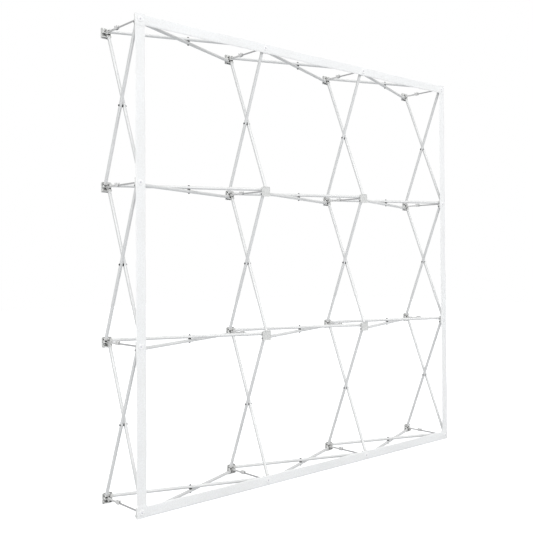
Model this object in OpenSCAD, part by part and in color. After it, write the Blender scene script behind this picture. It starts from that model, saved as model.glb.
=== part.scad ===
// Pop-up display backwall: a folding lattice of scissor tubes between front and rear hubs,
// held open by a locking link at every node, with a hook-and-loop band round the front edge.
//
// X runs along the wall, -Y is the display side, +Z is up, and the floor is Z = 0.
// Rows are counted up from the floor and columns from the left, seen from the display side.

/* [Lattice] */
// Distance between neighbouring hub centres, along the wall and up it
pitch = 735; // [600:5:800]
// Depth from the front hub faces to the rear hub faces
depth = 314; // [290:2:360]
// Number of cells along the wall
cells_wide = 3; // [1:1:3]
// Number of cells up the wall
cells_high = 3; // [1:1:3]

/* [Tubes] */
// Outer diameter of a scissor tube
tube_d = 16; // [14:0.5:16]
// Wall of a scissor tube
tube_wall = 1.2; // [0.8:0.1:2]
// Thickness of the washer between two crossing tubes
washer_t = 3; // [2:0.5:4]
// Diameter of the washer between two crossing tubes
washer_d = 15; // [10:1:16]
// Diameter of the crossing rivet
rivet_d = 5; // [4:0.5:6]
// Diameter of the domed heads of the crossing rivet
rivet_head_d = 10; // [8:0.5:12]

/* [Hubs] */
// Side of the square hub plate
hub_side = 50; // [50:1:60]
// Thickness of the hub plate
plate_t = 4; // [3:0.5:5]
// Radius of the hub plate's corners
plate_corner_r = 5; // [2:0.5:8]
// Height of the rim's edge above the hub's outer face
rim_top = 6.5; // [5:0.5:8]
// Distance of a hinge pin from the hub's centre line
pin_reach = 14; // [13.5:0.5:16]
// Height of a hinge pin above the hub's outer face
pin_height = 15; // [14:0.5:16]
// Diameter of a hinge pin
pin_d = 5; // [4:0.5:5]
// Thickness of the walls between the tube pockets, whose ends are the clevis ears
ear_t = 3; // [2.5:0.25:3.5]
// Height of the pocket walls and of the deck above the hub's outer face
wall_top = 17.5; // [17:0.25:17.75]

/* [Locking links] */
// How far the links stand to the left of the hub centres
link_shift = 3.5; // [3:0.1:3.6]
// Height of the link's pivots above the hub centres
link_rise = 1; // [0:0.25:1.5]
// Height of the link's pivots above the hub's outer face
link_height = 22.5; // [22.5:0.5:25]
// Diameter of the rod
rod_d = 8; // [6:0.25:8.25]
// Diameter of the ball on the rod's end
ball_d = 8.6; // [8:0.1:9]
// Diameter of the neck between the rod and its ball
rod_neck_d = 5.5; // [4:0.25:6.5]
// Diameter of the link's pivot pins
link_pin_d = 3; // [2.5:0.25:3]
// Distance from the catch arm's pivot to the ball that it holds
catch_reach = 90; // [85:1:95]
// Width of the catch head
catch_w = 14; // [13.5:0.5:15]
// Height of the catch head below its grip ridges
catch_h = 14; // [12:0.5:16]

/* [Band] */
// Width of the hook-and-loop band
band_w = 50; // [40:1:54]
// Thickness of the band
band_t = 1.2; // [0.8:0.1:2]
// Diameter of the washer that holds the band on a hub
band_washer_d = 27; // [20:1:32]
// Diameter of the head of the band screw
screw_head_d = 8; // [6:0.5:10]

/* [Hidden] */
$fn = 48;
// Gap round a part that turns on its pin, on the radius
turn_gap = 0.06;
// Gap beside a part that turns between two ears
side_gap = 0.3;
// Depth by which cutters run past a face
over = 1;

columns = cells_wide + 1;
rows = cells_high + 1;

// Layers on the front hub faces
band_washer_t = 1.6;
screw_head_t = 1.4;
front_build = 2 * band_t + band_washer_t + screw_head_t;

// Outer faces of the front and rear hubs, with the whole depth centred on Y = 0
front_y = front_build - (depth + front_build) / 2;
rear_y = front_y + depth;
middle_y = (front_y + rear_y) / 2;

// Scissor tubes: each runs beside the plane of its hubs, half a washer off it
tube_offset = (tube_d + washer_t) / 2;
pin_run = pitch - 2 * pin_reach;
pin_step = depth - 2 * pin_height;
tube_span = sqrt(pin_run * pin_run + pin_step * pin_step);
tube_angle = atan2(pin_step, pin_run);
tongue_r = 6.5;
tongue_l = 8;
tongue_round_d = 17.2;
collar_l = 2;
plug_l = 25;
plug_gap = 0.05;
tube_l = tube_span - 2 * (tongue_l + collar_l);

// Pockets and clevises: the four inner ears meet in a cross at the hub's centre
ear_r = 7;
clevis_gap = 2 * tube_offset - ear_t;
clevis_w = clevis_gap + 2 * ear_t;
tongue_t = clevis_gap - 2 * side_gap;
boss_d = 8;
boss_top = 10;
pin_head_d = 8;
pin_head_t = 1.2;
rim_t = 2;
recess_side = 44;
recess_deep = 1;

// Link clevises, pivots and stops
deck_t = 1.5;
eye_r = 4.5;
eye_w = 4;
eye_flat_l = 8;
link_ear_t = 1.6;
link_gap = eye_w + 2 * side_gap;
link_w = link_gap + 2 * link_ear_t;
stop_reach = link_height + 10.5;
stop_deep = 4;
stop_h = 3.2;
stop_gap = 0.5;
link_span = depth - 2 * link_height;
rod_reach = link_span - catch_reach;

// Catch arm: a flat arm with a keyhole head that the rod's ball sits in
arm_w = 7;
arm_h = 7.5;
head_back = 10;
head_front = 14;
head_under = 6;
chamber_d = 10;
neck_w = rod_neck_d + 0.8;
grip_r = 3.2;
grip_rise = 1.5;
flute_deep = 1.6;
flute_h = 3;

// Band fixing
screw_d = 3;
screw_l = 6;
screw_gap = 0.05;
band_ramp = 12;
dish_d = 12;

plastic = [0.86, 0.86, 0.85];
metal = [0.80, 0.80, 0.79];
rod_grey = [0.62, 0.63, 0.63];
dark = [0.22, 0.23, 0.24];
white = [0.95, 0.96, 0.96];

function column_x(c) = (c - cells_wide / 2) * pitch;
function row_z(r) = r * pitch + hub_side / 2;
function on_edge(c, r) = c == 0 || c == cells_wide || r == 0 || r == cells_high;
function on_corner(c, r) = (c == 0 || c == cells_wide) && (r == 0 || r == cells_high);
function rod_name(c, r) = str("link_rod_row_", r + 1, "_column_", c + 1);
function arm_name(c, r) = str("catch_arm_row_", r + 1, "_column_", c + 1);
function numbered(stem, count) = [for (n = [1:count]) str(stem, n)];

// ---- Placing -------------------------------------------------------------------------------

// A front hub's frame: origin in its outer face, Y into the wall
module at_front_hub(c, r) {
    translate([column_x(c), front_y, row_z(r)]) children();
}

// A rear hub is the same moulding turned half round
module at_rear_hub(c, r) {
    translate([column_x(c), rear_y, row_z(r)]) rotate([0, 0, 180]) children();
}

// The face of the band on each edge hub, with Z towards the viewer; two strips lie on a corner
module at_band_fixings() {
    for (r = [0:cells_high], c = [0:cells_wide])
        if (on_edge(c, r))
            at_front_hub(c, r) rotate([90, 0, 0])
                translate([0, 0, on_corner(c, r) ? 2 * band_t : band_t]) children();
}

// The middle of each level scissor in one row, with X along the wall
module at_level_crossings(r) {
    for (c = [0:cells_wide - 1])
        translate([column_x(c + 0.5), middle_y, row_z(r)]) children();
}

// The middle of each upright scissor in one column, with X turned up
module at_upright_crossings(c) {
    for (r = [0:cells_high - 1])
        translate([column_x(c), middle_y, row_z(r + 0.5)]) rotate([0, -90, 0]) children();
}

module at_all_crossings() {
    for (r = [0:cells_high]) at_level_crossings(r) children();
    for (c = [0:cells_wide]) at_upright_crossings(c) children();
}

// The two tubes of one scissor, each in a frame with X along the tube and -Z to its outer side
module scissor_pair() {
    for (turn = [0, 180])
        rotate([turn, 0, 0]) translate([0, 0, -tube_offset]) rotate([0, 0, tube_angle]) children();
}

// The two ends of a tube, each with its origin on the hinge pin and X into the tube
module at_tube_ends() {
    for (turn = [0, 180]) rotate([0, 0, turn]) translate([-tube_span / 2, 0, 0]) children();
}

module at_all_tube_ends() {
    at_all_crossings() scissor_pair() at_tube_ends() children();
}

// The four sides of a hub, each pocket a quarter turn on from the last
module round_hub() {
    for (side = [0:3]) rotate([0, -90 * side, 0]) children();
}

// ---- Hubs ----------------------------------------------------------------------------------

// A square outline with round corners
module rounded_square(side, r) {
    square([side, side - 2 * r], center = true);
    square([side - 2 * r, side], center = true);
    for (x = [-1, 1], y = [-1, 1])
        translate([x, y] * (side / 2 - r)) circle(r);
}

// Lays a flat outline in the hub's face and thickens it into the wall
module from_face(start, thickness) {
    translate([0, start + thickness, 0]) rotate([90, 0, 0]) linear_extrude(thickness) children();
}

module hub_plate() {
    difference() {
        from_face(0, plate_t) rounded_square(hub_side, plate_corner_r);
        from_face(-over, over + recess_deep) rounded_square(recess_side, plate_corner_r / 2);
    }
}

// Low wall round the back of the plate
module hub_rim() {
    difference() {
        from_face(0, rim_top) rounded_square(hub_side, plate_corner_r);
        from_face(-over, 2 * hub_side)
            rounded_square(hub_side - 2 * rim_t, plate_corner_r - rim_t);
    }
}

// Side view of a pocket wall: it runs from the hub's centre to a round ear about the pin
module pocket_wall_outline() {
    foot = plate_t / 2;
    translate([pin_reach, pin_height]) circle(ear_r);
    translate([pin_reach - ear_r, foot]) square([2 * ear_r, pin_height - foot]);
    translate([0, foot]) square([pin_reach, wall_top - foot]);
}

// Pocket for one tube: two walls with the hinge pin across their ears
module tube_pocket() {
    translate([0, 0, -tube_offset])
        difference() {
            for (side = [-1, 1])
                translate([0, 0, side * (clevis_gap + ear_t) / 2])
                    linear_extrude(ear_t, center = true) pocket_wall_outline();
            translate([pin_reach, pin_height, 0])
                cylinder(d = pin_d + 2 * turn_gap, h = clevis_w + 2 * over, center = true);
        }
}

// Boss that takes the band screw, where the pocket walls meet
module screw_boss() {
    from_face(plate_t / 2, boss_top - plate_t / 2) circle(d = boss_d);
}

// Top of the stop that a level link rests on
function stop_top() = link_rise - rod_d / 2 - stop_gap;

// Side view of a link ear and its stop arm, in the Y-Z plane as [Y, Z]
module link_ear_outline() {
    foot = wall_top - deck_t;
    translate([link_height, link_rise]) circle(eye_r);
    translate([foot, link_rise - eye_r]) square([link_height - foot, 2 * eye_r]);
    translate([foot, stop_top() - stop_h]) square([stop_reach - foot, stop_h]);
}

// Stands a [Y, Z] outline up and thickens it along X about x = 0
module across(width) {
    rotate([90, 0, 90]) linear_extrude(width, center = true) children();
}

// Clevis for the link on its deck, with the stop bar that carries the level link
module link_clevis() {
    deck_low = stop_top() - stop_h;
    difference() {
        union() {
            translate([-link_w / 2, wall_top - deck_t, deck_low])
                cube([link_w, deck_t, link_rise + eye_r - deck_low]);
            for (side = [-1, 1])
                translate([side * (link_gap + link_ear_t) / 2, 0, 0])
                    across(link_ear_t) link_ear_outline();
            translate([0, stop_reach - stop_deep / 2, stop_top() - stop_h / 2])
                cube([link_gap + link_ear_t, stop_deep, stop_h], center = true);
        }
        translate([0, link_height, link_rise]) rotate([0, 90, 0])
            cylinder(d = link_pin_d + 2 * turn_gap, h = hub_side, center = true);
    }
}

// A hub seen from behind its face, with the link clevis off to one side
module hub(link_x) {
    color(plastic) union() {
        hub_plate();
        hub_rim();
        round_hub() tube_pocket();
        screw_boss();
        translate([link_x, 0, 0]) link_clevis();
    }
}

// A hub that the band is screwed to has a blind hole in its face
module drilled_hub(link_x) {
    color(plastic) difference() {
        hub(link_x);
        translate([0, -over, 0]) rotate([-90, 0, 0])
            cylinder(d = screw_d + 2 * screw_gap, h = screw_l + 2 * over);
    }
}

module front_hubs(r) {
    for (c = [0:cells_wide]) at_front_hub(c, r)
        if (on_edge(c, r)) drilled_hub(-link_shift);
        else hub(-link_shift);
}

module rear_hubs(r) {
    for (c = [0:cells_wide]) at_rear_hub(c, r) hub(link_shift);
}

// ---- Hinge pins ----------------------------------------------------------------------------

// Pin through both ears, with its head outside the hub and its foot flush with the inner ear
module hinge_pin() {
    cylinder(d = pin_d, h = clevis_w, center = true);
    translate([0, 0, -clevis_w / 2 - pin_head_t]) cylinder(d = pin_head_d, h = pin_head_t);
}

module hub_hinge_pins() {
    color(dark) at_all_tube_ends() hinge_pin();
}

module link_pivot_pin() {
    rotate([0, 90, 0]) cylinder(d = link_pin_d, h = link_w, center = true);
}

module link_pivot_pins() {
    color(dark) for (r = [0:cells_high], c = [0:cells_wide]) {
        at_rod_pivot(c, r) link_pivot_pin();
        at_arm_pivot(c, r) link_pivot_pin();
    }
}

// ---- Scissor tubes -------------------------------------------------------------------------

// One tube along X with its rivet hole across the middle
module scissor_tube() {
    difference() {
        rotate([0, 90, 0]) cylinder(d = tube_d, h = tube_l, center = true);
        rotate([0, 90, 0])
            cylinder(d = tube_d - 2 * tube_wall, h = tube_l + 2 * over, center = true);
        cylinder(d = rivet_d, h = 2 * tube_d, center = true);
    }
}

module level_tubes(r) {
    color(metal) at_level_crossings(r) scissor_pair() scissor_tube();
}

module upright_tubes(c) {
    color(metal) at_upright_crossings(c) scissor_pair() scissor_tube();
}

// Round-cornered tongue that fills the pocket and turns on the hinge pin
module tube_tongue() {
    difference() {
        intersection() {
            linear_extrude(tongue_t, center = true) {
                circle(tongue_r);
                translate([0, -tongue_r]) square([tongue_l + collar_l / 2, 2 * tongue_r]);
            }
            rotate([0, 90, 0])
                cylinder(d = tongue_round_d, h = 4 * tongue_l, center = true);
        }
        cylinder(d = pin_d + 2 * turn_gap, h = 2 * tongue_t, center = true);
    }
}

// The moulded end of a tube: tongue, collar, and plug in the bore
module tube_end() {
    plug_d = tube_d - 2 * tube_wall - 2 * plug_gap;
    tube_tongue();
    rotate([0, 90, 0]) translate([0, 0, tongue_l]) {
        cylinder(d = tube_d, h = collar_l);
        cylinder(d = plug_d, h = collar_l + plug_l);
    }
}

module level_tube_ends() {
    color(plastic) for (r = [0:cells_high])
        at_level_crossings(r) scissor_pair() at_tube_ends() tube_end();
}

module upright_tube_ends() {
    color(plastic) for (c = [0:cells_wide])
        at_upright_crossings(c) scissor_pair() at_tube_ends() tube_end();
}

// ---- Crossings -----------------------------------------------------------------------------

// Through rivet with a shallow domed head outside each tube
module crossing_rivet() {
    head_h = 4;
    seat = tube_offset + tube_d / 2;
    dome_r = (rivet_head_d * rivet_head_d / 4 + head_h * head_h) / (2 * head_h);
    cylinder(d = rivet_d, h = 2 * seat + head_h, center = true);
    for (side = [0, 180]) rotate([side, 0, 0])
        translate([0, 0, seat])
            intersection() {
                translate([0, 0, head_h - dome_r]) sphere(dome_r);
                cylinder(d = rivet_head_d, h = head_h);
            }
}

module crossing_rivets() {
    color(dark) at_all_crossings() crossing_rivet();
}

// Spacer between the two tubes, drilled for the rivet
module crossing_washers() {
    color(dark) at_all_crossings()
        difference() {
            cylinder(d = washer_d, h = washer_t, center = true);
            cylinder(d = rivet_d, h = washer_t + 2 * over, center = true);
        }
}

// ---- Locking links -------------------------------------------------------------------------

module at_rod_pivot(c, r) {
    at_front_hub(c, r) translate([-link_shift, link_height, link_rise]) children();
}

// The catch arm's frame: origin on its pivot, Y towards the front hub
module at_arm_pivot(c, r) {
    at_rear_hub(c, r) translate([link_shift, link_height, link_rise]) children();
}

// The eye that turns on a link pivot pin
module link_eye() {
    rotate([0, 90, 0]) cylinder(r = eye_r, h = eye_w, center = true);
}

module link_pin_hole() {
    rotate([0, 90, 0]) cylinder(d = link_pin_d + 2 * turn_gap, h = 2 * eye_w, center = true);
}

// What is cut away beside the eye, so that a link's end fits between its two ears
module beside_eye() {
    for (side = [-1, 1])
        translate([side * (eye_w + catch_w) / 2, 0, 0])
            cube([catch_w, 2 * eye_flat_l, 4 * eye_r], center = true);
}

// Round rod, flattened to an eye at the front hub, with a neck and a ball at its free end
module link_rod(c, r) {
    neck_start = rod_reach - head_front - side_gap - over;
    color(rod_grey) at_rod_pivot(c, r)
        difference() {
            union() {
                link_eye();
                rotate([-90, 0, 0]) cylinder(d = rod_d, h = neck_start);
                rotate([-90, 0, 0]) cylinder(d = rod_neck_d, h = rod_reach);
                translate([0, rod_reach, 0]) sphere(d = ball_d);
            }
            link_pin_hole();
            beside_eye();
        }
}

// Side view of the catch arm as [Y, Z]: arm, head and two grip ridges
module catch_outline() {
    head_start = catch_reach - head_back;
    head_l = head_back + head_front;
    translate([0, -arm_h / 2]) square([head_start + grip_r, arm_h]);
    translate([head_start, -head_under]) square([head_l, catch_h]);
    for (y = [grip_r, head_l - grip_r])
        translate([head_start + y, catch_h - head_under]) {
            translate([-grip_r, -over]) square([2 * grip_r, over + grip_rise]);
            translate([0, grip_rise]) circle(grip_r);
        }
}

// Keyhole down through the head: the ball drops in, and the neck keeps it from pulling out
module keyhole() {
    translate([0, catch_reach, 0])
        cylinder(d = chamber_d, h = 2 * catch_h, center = true);
    translate([-neck_w / 2, catch_reach, -catch_h]) cube([neck_w, 2 * head_front, 2 * catch_h]);
}

// Grooves that thin the arm to an I section
module arm_flutes() {
    flute_start = 1.5 * eye_flat_l;
    flute_l = catch_reach - head_back - arm_w - flute_start;
    for (side = [-1, 1])
        translate([side * arm_w / 2, flute_start + flute_l / 2, 0])
            cube([2 * flute_deep, flute_l, flute_h], center = true);
}

module catch_arm(c, r) {
    head_start = catch_reach - head_back;
    color(plastic) at_arm_pivot(c, r)
        difference() {
            union() {
                link_eye();
                intersection() {
                    across(catch_w) catch_outline();
                    union() {
                        translate([-arm_w / 2, 0, -catch_h]) cube([arm_w, pitch, 2 * catch_h]);
                        translate([-catch_w / 2, head_start, -catch_h])
                            cube([catch_w, pitch, 2 * catch_h]);
                    }
                }
            }
            link_pin_hole();
            beside_eye();
            keyhole();
            arm_flutes();
        }
}

// ---- Band ----------------------------------------------------------------------------------

module band_screw_hole() {
    cylinder(d = screw_d + 2 * screw_gap, h = 4 * front_build, center = true);
}

// Strips up the two sides, seen from the side as [Y, Z]: each end steps over a level strip
module side_band_outline() {
    low = row_z(0) - band_w / 2;
    high = row_z(cells_high) + band_w / 2;
    back = [
        [-band_t, low],
        [-band_t, low + band_w],
        [0, low + band_w + band_ramp],
        [0, high - band_w - band_ramp],
        [-band_t, high - band_w],
        [-band_t, high]
    ];
    last = len(back) - 1;
    front = [for (n = [0:last]) back[last - n] - [band_t, 0]];
    polygon(concat(back, front));
}

module side_band(c) {
    color(white) difference() {
        translate([column_x(c), front_y, 0]) across(band_w) side_band_outline();
        at_band_fixings() band_screw_hole();
    }
}

// Strips along the top and bottom, which run under the ends of the side strips
module level_band(r) {
    low_x = column_x(0) - band_w / 2;
    color(white) difference() {
        translate([low_x, front_y - band_t, row_z(r) - band_w / 2])
            cube([column_x(cells_wide) - column_x(0) + band_w, band_t, band_w]);
        at_band_fixings() band_screw_hole();
    }
}

// Plastic washer with a dished seat for the screw head
module band_washers() {
    color(white) at_band_fixings()
        difference() {
            cylinder(d = band_washer_d, h = band_washer_t);
            translate([0, 0, -over])
                cylinder(d = screw_d + 2 * screw_gap, h = band_washer_t + 2 * over);
            translate([0, 0, band_washer_t / 2])
                cylinder(d1 = screw_head_d, d2 = dish_d, h = band_washer_t);
        }
}

module band_screws() {
    seat = band_washer_t / 2;
    color(dark) at_band_fixings() {
        translate([0, 0, -screw_l - band_t]) cylinder(d = screw_d, h = screw_l + band_t + seat);
        translate([0, 0, seat])
            cylinder(d1 = screw_head_d, d2 = screw_head_d - 3, h = screw_head_t + seat);
    }
}

// ---- The object ----------------------------------------------------------------------------

for (r = [0:cells_high]) {
    front_hubs(r);
    rear_hubs(r);
    level_tubes(r);
}
for (c = [0:cells_wide])
    upright_tubes(c);
level_tube_ends();
upright_tube_ends();
hub_hinge_pins();
link_pivot_pins();
crossing_rivets();
crossing_washers();
level_band(cells_high);  // band_top
level_band(0);  // band_bottom
side_band(0);  // band_left
side_band(cells_wide);  // band_right
band_washers();
band_screws();
for (r = [0:cells_high], c = [0:cells_wide]) {
    link_rod(c, r);
    catch_arm(c, r);
}
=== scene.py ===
"""Looks of a pop-up display backwall frame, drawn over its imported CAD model.

The CAD nodes keep their shape and get moulded, drawn and blackened finishes. The strips of the
hook-and-loop band, its washers and screws, and the spacer washers of the crossings are modelled here
and stand for their CAD nodes. Everything is in metres: X runs along the wall, -Y is the display side
and Z is up.
"""

import logging
import math
from dataclasses import dataclass
from enum import Enum
from functools import cached_property
from typing import Any

import bmesh
import bpy
from mathutils import Matrix, Vector, noise


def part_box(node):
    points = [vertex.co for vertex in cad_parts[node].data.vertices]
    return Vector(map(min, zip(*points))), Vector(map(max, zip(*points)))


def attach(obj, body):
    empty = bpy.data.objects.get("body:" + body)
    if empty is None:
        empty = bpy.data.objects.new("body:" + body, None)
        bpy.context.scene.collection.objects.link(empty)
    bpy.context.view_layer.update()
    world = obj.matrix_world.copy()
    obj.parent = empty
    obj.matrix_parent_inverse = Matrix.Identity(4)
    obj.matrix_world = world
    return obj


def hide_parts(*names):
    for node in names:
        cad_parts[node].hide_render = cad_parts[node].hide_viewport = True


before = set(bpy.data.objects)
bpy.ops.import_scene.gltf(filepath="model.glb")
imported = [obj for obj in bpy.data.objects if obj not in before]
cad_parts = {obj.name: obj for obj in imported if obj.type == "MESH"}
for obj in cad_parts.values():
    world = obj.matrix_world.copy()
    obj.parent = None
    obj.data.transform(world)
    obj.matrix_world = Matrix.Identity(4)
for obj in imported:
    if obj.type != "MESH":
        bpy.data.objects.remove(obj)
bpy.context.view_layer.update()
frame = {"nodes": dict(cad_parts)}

log = logging.getLogger("backwall")

Triple = tuple[float, float, float]
Colour = Triple
Spot = tuple[Vector, Triple]
Value = Any
Node = bpy.types.Node
Socket = bpy.types.NodeSocket
Tree = bpy.types.NodeTree
Material = bpy.types.Material
Mesh = bpy.types.Mesh
Object = bpy.types.Object

LATTICE = "lattice"
WHITE = (1.0, 1.0, 1.0)
OUT_OF_WALL = Vector((0.0, -1.0, 0.0))


def put_in_scene(name: str, data: bpy.types.ID) -> Object:
    """Makes an object and links it to the scene.

    Args:
        name: The object's name.
        data: Its mesh, lamp or camera.

    Returns:
        The object.
    """
    thing = bpy.data.objects.new(name, data)
    bpy.context.scene.collection.objects.link(thing)
    return thing


def empty_nodes(owner: Material | bpy.types.World) -> Tree:
    """Switches on the nodes of a material or world and clears them.

    Args:
        owner: The material or world.

    Returns:
        Its node tree.
    """
    owner.use_nodes = True
    owner.node_tree.nodes.clear()
    return owner.node_tree


def scaled(colour: Colour, gain: float, lift: float = 0.0) -> Colour:
    """Returns a colour with each channel scaled and lifted, up to white."""
    return tuple(min(1.0, gain * channel + lift) for channel in colour)


# ---- Building node trees ----


class Mix(Enum):
    """What a Mix node mixes: its data type, its first input's number and its output's number."""

    NUMBER = ("FLOAT", 2, 0)
    VECTOR = ("VECTOR", 4, 1)
    COLOUR = ("RGBA", 6, 2)


class NodeGraph:
    """Adds nodes to one tree and links them as it goes."""

    def __init__(self, tree: Tree) -> None:
        """Starts on an existing shader or geometry tree."""
        self.tree = tree

    @staticmethod
    def spaced(values: dict[str, Value]) -> dict[str, Value]:
        """Returns values by socket name, with spaces in place of underscores."""
        return {name.replace("_", " "): value for name, value in values.items()}

    def feed(self, node: Node, inputs: dict[str | int, Value]) -> None:
        """Links outputs to a node's inputs, or sets the inputs to constants.

        Args:
            node: The node to feed.
            inputs: An output, number, vector or colour for each input, by its name or number.
        """
        for key, value in inputs.items():
            socket = node.inputs[key]
            if isinstance(value, Socket):
                self.tree.links.new(value, socket)
            elif socket.type == "RGBA" and len(value) == 3:
                socket.default_value = (*value, 1.0)
            else:
                socket.default_value = value

    def add(self, kind: str, inputs: dict[str | int, Value] | None = None, **settings: Value) -> Node:
        """Adds one node.

        Args:
            kind: The node's type name.
            inputs: Values or sockets for its inputs, by name or number.
            **settings: The node's own properties.

        Returns:
            The new node.
        """
        node = self.tree.nodes.new(kind)
        for name, setting in settings.items():
            setattr(node, name, setting)
        self.feed(node, inputs or {})
        return node

    def made(self, kind: str, inputs: dict[str | int, Value] | None = None, **settings: Value) -> Socket:
        """Adds one node and returns its first output."""
        return self.add(kind, inputs, **settings).outputs[0]

    def maths(self, operation: str, a: Value, b: Value = 0.0, clamp: bool = False) -> Socket:
        """Returns the result of one Math node."""
        return self.made("ShaderNodeMath", {0: a, 1: b}, operation=operation, use_clamp=clamp)

    def times(self, a: Value, b: Value, clamp: bool = False) -> Socket:
        """Returns the product of two numbers."""
        return self.maths("MULTIPLY", a, b, clamp)

    def plus(self, a: Value, b: Value) -> Socket:
        """Returns the sum of two numbers."""
        return self.maths("ADD", a, b)

    def minus(self, a: Value, b: Value) -> Socket:
        """Returns the first number less the second."""
        return self.maths("SUBTRACT", a, b)

    def larger(self, a: Value, b: Value, clamp: bool = False) -> Socket:
        """Returns the larger of two numbers."""
        return self.maths("MAXIMUM", a, b, clamp)

    def ramp(self, value: Value, low: Value, high: Value, start: Value = 0.0, end: Value = 1.0) -> Socket:
        """Eases a value from one range to another, and holds it at both ends."""
        inputs = {"Value": value, "From Min": low, "From Max": high, "To Min": start, "To Max": end}
        return self.made("ShaderNodeMapRange", inputs, interpolation_type="SMOOTHSTEP")

    def mix(self, what: Mix, share: Value, a: Value, b: Value) -> Socket:
        """Mixes two numbers, vectors or colours, with a share of the second."""
        kind, first, result = what.value
        return self.add("ShaderNodeMix", {0: share, first: a, first + 1: b}, data_type=kind).outputs[result]

    def blend(self, share: Value, a: Value, b: Value) -> Socket:
        """Mixes two numbers, with a share of the second."""
        return self.mix(Mix.NUMBER, share, a, b)

    def tint(self, share: Value, a: Value, b: Value) -> Socket:
        """Mixes two colours, with a share of the second."""
        return self.mix(Mix.COLOUR, share, a, b)

    def coat(self, body: Value, *coats: tuple[Value, float, Colour]) -> Socket:
        """Lays thin coats over a colour, one on another.

        Args:
            body: The colour below.
            *coats: Each coat's mask, how much of it shows where the mask is 1, and its colour.

        Returns:
            The colour of the whole.
        """
        for mask, share, colour in coats:
            body = self.tint(self.times(mask, share), body, colour)
        return body

    def grain(self, vector: Value, scale: Value, detail: float = 3.0, roughness: float = 0.5) -> Socket:
        """Returns the value of a noise texture over a vector."""
        inputs = {"Vector": vector, "Scale": scale, "Detail": detail, "Roughness": roughness}
        return self.add("ShaderNodeTexNoise", inputs).outputs["Fac"]

    def place(self, vector: Value, scale: Value = (1, 1, 1), turn: Value = (0, 0, 0)) -> Socket:
        """Turns and scales a vector through a Mapping node."""
        inputs = {"Vector": vector, "Rotation": turn, "Scale": scale}
        return self.made("ShaderNodeMapping", inputs)

    def parts(self, vector: Value) -> tuple[Socket, ...]:
        """Returns a vector's X, Y and Z."""
        return tuple(self.add("ShaderNodeSeparateXYZ", {0: vector}).outputs)

    def join(self, x: Value, y: Value, z: Value) -> Socket:
        """Makes a vector of three numbers."""
        return self.made("ShaderNodeCombineXYZ", {0: x, 1: y, 2: z})


class GroupGraph(NodeGraph):
    """A new node group with named inputs and outputs."""

    KINDS = {"Vector": "Vector", "Points": "Geometry", "Material": "Material", "Pieces": "Geometry"}

    def __init__(
        self, name: str, outputs: tuple[str, ...], tree_type: str = "ShaderNodeTree", **inputs: float | None
    ) -> None:
        """Makes the group and its sockets.

        Args:
            name: The group's name.
            outputs: The outputs' names.
            tree_type: The type name of its tree.
            **inputs: The inputs' defaults, or None for no default, with underscores for spaces.
        """
        super().__init__(bpy.data.node_groups.new(name, tree_type))
        for label, default in self.spaced(inputs).items():
            socket = self.open(label, "INPUT")
            if default is not None:
                socket.default_value = default
        for label in outputs:
            self.open(label, "OUTPUT")
        self.given = self.add("NodeGroupInput").outputs[: len(inputs)]

    def open(self, label: str, way: str) -> bpy.types.NodeTreeInterfaceSocket:
        """Adds an input or output, which is a number if KINDS doesn't name it."""
        kind = "NodeSocket" + self.KINDS.get(label, "Float")
        return self.tree.interface.new_socket(label, in_out=way, socket_type=kind)

    def put_out(self, **values: Value) -> Tree:
        """Feeds the group's outputs and returns its tree."""
        self.add("NodeGroupOutput", self.spaced(values))
        return self.tree


class SurfaceGraph(NodeGraph):
    """The nodes of one new material, with its shader and the object coordinates."""

    def __init__(self, name: str) -> None:
        """Makes the material.

        Args:
            name: The material's name.
        """
        self.material = bpy.data.materials.new(name)
        super().__init__(empty_nodes(self.material))
        self.shader = self.add("ShaderNodeBsdfPrincipled")
        self.add("ShaderNodeOutputMaterial", {"Surface": self.shader.outputs[0]})
        self.position = self.add("ShaderNodeTexCoord").outputs["Object"]

    def effect(self, tree: Tree, **inputs: Value) -> bpy.types.bpy_prop_collection:
        """Places a shared effect, on the object coordinates if its Vector isn't given.

        Args:
            tree: The effect's group.
            **inputs: Its inputs, with underscores for the spaces in their names.

        Returns:
            The effect's outputs.
        """
        node = self.add("ShaderNodeGroup", node_tree=tree)
        if "Vector" in node.inputs:
            inputs = {"Vector": self.position} | inputs
        self.feed(node, self.spaced(inputs))
        return node.outputs

    def close(self, height: Value, depth: float, **inputs: Value) -> Material:
        """Feeds the shader and gives the surface its bumps.

        Args:
            height: The bumps' height, from 0 to 1.
            depth: What a height of 1 stands for, in metres.
            **inputs: The shader's inputs, with underscores for the spaces in their names.

        Returns:
            The finished material.
        """
        bump = self.made("ShaderNodeBump", {"Height": height, "Distance": depth, "Strength": 1.0})
        self.feed(self.shader, self.spaced(inputs) | {"Normal": bump})
        return self.material


# ---- Surface effects that several finishes share ----


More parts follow.
